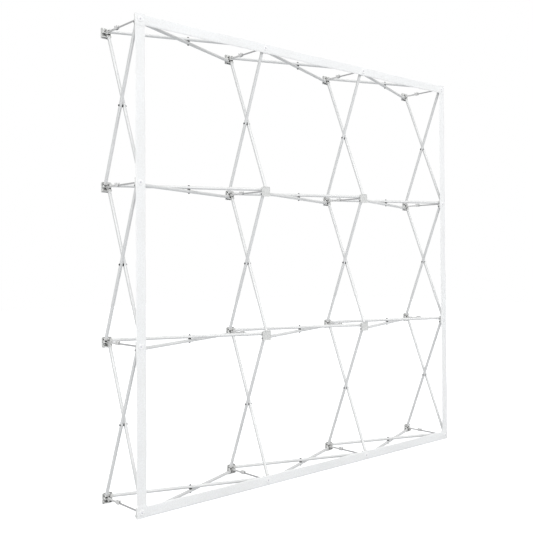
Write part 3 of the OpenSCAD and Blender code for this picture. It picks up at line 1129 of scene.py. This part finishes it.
@dataclass
class BandFixings(Maker):
    """The washers and screws that clamp the band to the edge hubs."""

    washer_diameter: float = 0.027
    washer_thickness: float = 0.0016
    rim_width: float = 0.0022
    dish_diameter: float = 0.012
    head_diameter: float = 0.008
    head_height: float = 0.0022
    recess_width: float = 0.0011

    def spots(self) -> list[Spot]:
        """Finds the point on the band's face at each edge hub.

        Returns:
            The points, with the turn out of the wall.
        """
        grid = self.lattice
        flat, raised = grid.front_y - BandStrip.thickness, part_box("band_left")[0].y
        return [
            (grid.at(*hub, raised if grid.is_corner(*hub) else flat), (math.pi / 2, 0.0, 0.0))
            for hub in grid.edge_hubs()
        ]

    def washer(self) -> PartTree:
        """Makes the washer as a disc with a thinner rim and a dish round the screw.

        Returns:
            The tree.
        """
        tree = PartTree(
            "band_washer",
            Radius=self.washer_diameter / 2,
            Thickness=self.washer_thickness,
            Dish_Radius=self.dish_diameter / 2,
        )
        radius, thick, dish = tree.sizes
        disc = tree.disc(radius, thick, 0.0, Vertices=48, Side_Segments=1, Fill_Segments=12)
        x, y, z, reach = tree.position()
        rim = tree.ramp(reach, tree.minus(radius, self.rim_width), radius, start=1.0, end=0.45)
        bowl = tree.ramp(reach, tree.times(dish, 0.6), dish, start=0.5, end=1.0)
        return tree.scatter(tree.shaped(disc, x, y, tree.times(tree.times(rim, bowl), z)))

    def screw(self) -> PartTree:
        """Makes the screw's pan head with its cross recess.

        Returns:
            The tree.
        """
        tree = PartTree(
            "band_screw_head",
            Radius=self.head_diameter / 2,
            Height=self.head_height,
            Seat=self.washer_thickness / 2,
            Slot=self.recess_width,
        )
        radius, tall, seat, slot = tree.sizes
        head = tree.disc(radius, tall, seat, Vertices=40, Side_Segments=3, Fill_Segments=8)
        x, y, z, reach = tree.position()
        dome = tree.ramp(reach, tree.times(radius, 0.45), radius, start=1.0, end=0.62)
        head = tree.shaped(head, x, y, tree.plus(seat, tree.times(tree.minus(z, seat), dome)))
        long = tree.times(radius, 1.15)
        both = tree.add("GeometryNodeMeshBoolean", operation="UNION")
        for sides in ((long, slot), (slot, long)):
            tree.feed(both, {1: tree.made("GeometryNodeMeshCube", {"Size": tree.join(*sides, tall)})})
        cross = tree.moved(both.outputs[0], tree.plus(seat, tree.times(tall, 1.05)))
        head = tree.made("GeometryNodeMeshBoolean", {0: head, 1: cross}, operation="DIFFERENCE")
        return tree.scatter(head)

    def build(self) -> None:
        """Makes both sets and stands them for their CAD nodes."""
        # The washers' plastic gets a weaker painted shade.
        white = MouldedPlastic(
            "washer_plastic", (0.87, 0.87, 0.87), (0.83, 0.83, 0.83), roughness=0.32, painted_shade_share=0.35
        )
        zinc = PlatedSteel(
            "screw_zinc", (0.5, 0.5, 0.53), (0.66, 0.66, 0.67), metallic=0.55, specular=0.5
        )
        for node, tree, look, slot in (
            ("band_washers", self.washer(), white, "band_washer_white"),
            ("band_screws", self.screw(), zinc, "link_steel"),
        ):
            finish = look.build()
            self.lay(node, tree.grow(node + "_detail", self.spots(), finish), finish, slot)


@dataclass
class CrossingSpacers(Maker):
    """The nylon washers that hold each pair of crossing tubes apart."""

    diameter: float = 0.015
    thickness: float = 0.003
    bore: float = 0.00512
    edge: float = 0.0004

    def spots(self) -> list[Spot]:
        """Finds the middle of each crossing.

        Returns:
            The middles, with the turn of each washer.
        """
        grid = self.lattice
        low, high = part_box("crossing_washers")
        middle = (low.y + high.y) / 2
        places = []
        for across in range(grid.count):
            for along in range(grid.count - 1):
                places.append((grid.at(along + 0.5, across, middle), (0.0, 0.0, 0.0)))
                places.append((grid.at(across, along + 0.5, middle), (0.0, math.pi / 2, 0.0)))
        return places

    def washer(self) -> PartTree:
        """Makes the washer by sweeping its rounded section round the bore.

        Returns:
            The tree.
        """
        sizes = {"Radius": self.diameter / 2, "Bore_Radius": self.bore / 2}
        tree = PartTree("crossing_spacer", **sizes, Thickness=self.thickness, Edge=self.edge)
        radius, bore, thick, edge = tree.sizes
        middle = tree.times(tree.plus(radius, bore), 0.5)
        circle = tree.made("GeometryNodeCurvePrimitiveCircle", {"Resolution": 56, "Radius": middle})
        sides = {"Width": tree.minus(radius, bore), "Height": thick}
        section = tree.made("GeometryNodeCurvePrimitiveQuadrilateral", sides)
        rounding = {"Curve": section, "Radius": edge, "Count": 3}
        section = tree.made("GeometryNodeFilletCurve", rounding, mode="POLY")
        ring = tree.made("GeometryNodeCurveToMesh", {"Curve": circle, "Profile Curve": section})
        return tree.scatter(ring)

    def build(self) -> None:
        """Makes the washers and stands them for their CAD node."""
        finish = BlackNylon("spacer_nylon").build()
        mesh = self.washer().grow("crossing_washers_detail", self.spots(), finish)
        self.lay("crossing_washers", mesh, finish, "washer_black")


# ---- CAD nodes that keep their shape ----


@dataclass
class CadFinishes:
    """Dresses the CAD nodes that stay."""

    lattice: Lattice

    def finishes(self) -> dict[str, Finish]:
        """Chooses the finishes.

        Returns:
            The finish for each start of a node's name.
        """
        tube = {"colour": (0.715, 0.72, 0.716), "dull": (0.625, 0.631, 0.63), "lattice": self.lattice}
        rod = {"colour": (0.42, 0.42, 0.42), "dull": (0.34, 0.34, 0.345), "lattice": self.lattice}
        hub = {"colour": (0.8, 0.805, 0.79), "shade": (0.76, 0.765, 0.75)}
        tube_end = {"colour": (0.66, 0.66, 0.65), "shade": (0.62, 0.62, 0.61)}
        rod_look = {"runs": Direction.INTO_WALL, "metallic": 0.75, "roughness": 0.34}
        return {
            "front_hubs": MouldedPlastic("front_hub_plastic", display_face_share=0.42, **hub),
            # The rear hubs get a stronger painted shade in their open pockets.
            "rear_hubs": MouldedPlastic("rear_hub_plastic", painted_shade_from=0.52, painted_shade_full=0.2, **hub),
            "level_tubes": DrawnMetal("level_tube", runs=Direction.LEVEL, **tube),
            "upright_tubes": DrawnMetal("upright_tube", runs=Direction.UPRIGHT, **tube),
            "level_tube_ends": MouldedPlastic("tube_end_plastic", **tube_end),
            "upright_tube_ends": MouldedPlastic("upright_end_plastic", **tube_end),
            "hub_hinge_pins": PlatedSteel("hinge_pin_steel"),
            "link_pivot_pins": PlatedSteel("link_pin_steel"),
            "crossing_rivets": PlatedSteel("rivet_steel"),
            "link_rod": DrawnMetal("link_rod_steel", **rod, **rod_look),
            "catch_arm": MouldedPlastic("catch_plastic", (0.7, 0.7, 0.695), (0.65, 0.65, 0.645)),
        }

    def build(self, nodes: dict[str, Object], done: set[str]) -> None:
        """Gives every CAD node that stays its material.

        Args:
            nodes: The CAD nodes by name.
            done: The nodes that a modelled piece stands for.
        """
        made = {start: finish.build() for start, finish in self.finishes().items()}
        for name, node in nodes.items():
            if name in done:
                continue
            start = max((key for key in made if name.startswith(key)), key=len)
            node.data.materials.clear()
            node.data.materials.append(made[start])
            log.info("%s: %s", name, made[start].name)


# ---- Studio ----


@dataclass(frozen=True)
class PhotoCamera:
    """The camera that took the photograph, as fitted to points of the lattice."""

    place: Triple = (-2.95019, -3.21618, 1.13807)
    yaw: float = 43.0455
    pitch: float = 0.92554
    roll: float = -0.42136
    focal_px: float = 783.565
    centre_px: tuple[float, float] = (306.388, 248.291)
    image_px: float = 533.0
    sensor_mm: float = 36.0
    clip_end: float = 60.0

    def build(self) -> None:
        """Makes the scene's camera."""
        yaw, pitch, roll = (math.radians(angle) for angle in (self.yaw, self.pitch, self.roll))
        reach, rise = math.cos(pitch), math.sin(pitch)
        forward = Vector((math.sin(yaw) * reach, math.cos(yaw) * reach, rise))
        level = Vector((math.cos(yaw), -math.sin(yaw), 0.0))
        upward = level.cross(forward)
        right = level * math.cos(roll) + upward * math.sin(roll)
        top = upward * math.cos(roll) - level * math.sin(roll)
        data = bpy.data.cameras.new("photo_camera")
        data.sensor_width = self.sensor_mm
        data.lens = self.focal_px / self.image_px * self.sensor_mm
        data.shift_x = (self.image_px / 2 - self.centre_px[0]) / self.image_px
        data.shift_y = (self.centre_px[1] - self.image_px / 2) / self.image_px
        data.clip_end = self.clip_end
        matrix = Matrix((right, top, -forward)).transposed().to_4x4()
        matrix.translation = self.place
        camera = put_in_scene("photo_camera", data)
        camera.matrix_world = matrix
        bpy.context.scene.camera = camera


@dataclass(frozen=True)
class Lamp:
    """One soft square lamp."""

    name: str
    place: Triple
    side: float
    power: float

    def build(self, target: Vector) -> None:
        """Makes the lamp.

        Args:
            target: What it is turned to.
        """
        data = bpy.data.lights.new(self.name, "AREA")
        data.size = self.side
        data.energy = self.power
        lamp = put_in_scene(self.name, data)
        lamp.location = self.place
        lamp.rotation_euler = (target - Vector(self.place)).to_track_quat("-Z", "Y").to_euler()


@dataclass
class Studio:
    """A pale floor, a white surround and soft lamps on the display side."""

    floor_side: float = 30.0
    surround: float = 0.74
    floor_colour: Colour = (0.35, 0.359, 0.375)
    floor_glow: float = 0.9
    wall_middle: Triple = (0.0, 0.0, 1.1)
    lamps: tuple[Lamp, ...] = (
        Lamp("overhead", (-1.0, -3.0, 20.0), side=26.0, power=1000.0),
        Lamp("front_left", (-7.5, -8.5, 6.4), side=13.0, power=830.0),
        Lamp("front_right", (5.5, -8.5, 4.0), side=8.0, power=240.0),
    )

    @staticmethod
    def seen(graph: NodeGraph) -> Socket:
        """Tells which rays see a white background.

        Args:
            graph: The graph of the floor or of the world.

        Returns:
            1 for rays of the camera, of mirrors and of glass, and 0 for the rest.
        """
        path = graph.add("ShaderNodeLightPath").outputs
        mirrored = graph.larger(path["Is Glossy Ray"], path["Is Transmission Ray"])
        return graph.larger(path["Is Camera Ray"], mirrored, clamp=True)

    def surround_world(self) -> None:
        """Makes a world that looks white and lights at a plain level."""
        world = bpy.data.worlds.new("white_surround")
        graph = NodeGraph(empty_nodes(world))
        strength = graph.blend(self.seen(graph), self.surround, 1.0)
        sky = graph.made("ShaderNodeBackground", {"Color": WHITE, "Strength": strength})
        graph.add("ShaderNodeOutputWorld", {"Surface": sky})
        bpy.context.scene.world = world

    def floor(self) -> None:
        """Makes the floor, white where nothing shades it."""
        half = self.floor_side / 2
        corners = [(-half, -half, 0.0), (half, -half, 0.0), (half, half, 0.0), (-half, half, 0.0)]
        mesh = bpy.data.meshes.new("floor")
        mesh.from_pydata(corners, [], [(0, 1, 2, 3)])
        material = bpy.data.materials.new("floor_paint")
        graph = NodeGraph(empty_nodes(material))
        matt = graph.made("ShaderNodeBsdfDiffuse", {"Color": self.floor_colour})
        strength = graph.times(self.seen(graph), self.floor_glow)
        glow = graph.made("ShaderNodeEmission", {"Color": WHITE, "Strength": strength})
        both = graph.made("ShaderNodeAddShader", {0: matt, 1: glow})
        graph.add("ShaderNodeOutputMaterial", {"Surface": both})
        mesh.materials.append(material)
        piece = put_in_scene("floor", mesh)

    def build(self) -> None:
        """Makes the whole studio."""
        bpy.context.scene.view_settings.view_transform = "Standard"
        self.surround_world()
        self.floor()
        for lamp in self.lamps:
            lamp.build(Vector(self.wall_middle))


def main() -> None:
    """Builds the scene in order and reports each piece."""
    logging.basicConfig(level=logging.INFO, format="%(name)s %(message)s")
    lattice = Lattice.from_frame()
    PhotoCamera().build()
    Studio().build()
    Band(lattice).build()
    BandFixings(lattice).build()
    CrossingSpacers(lattice).build()
    band_parts = ("top", "bottom", "left", "right", "washers", "screws")
    modelled = {"crossing_washers"} | {f"band_{part}" for part in band_parts}
    CadFinishes(lattice).build(frame["nodes"], modelled)


if __name__ == "__main__":
    main()
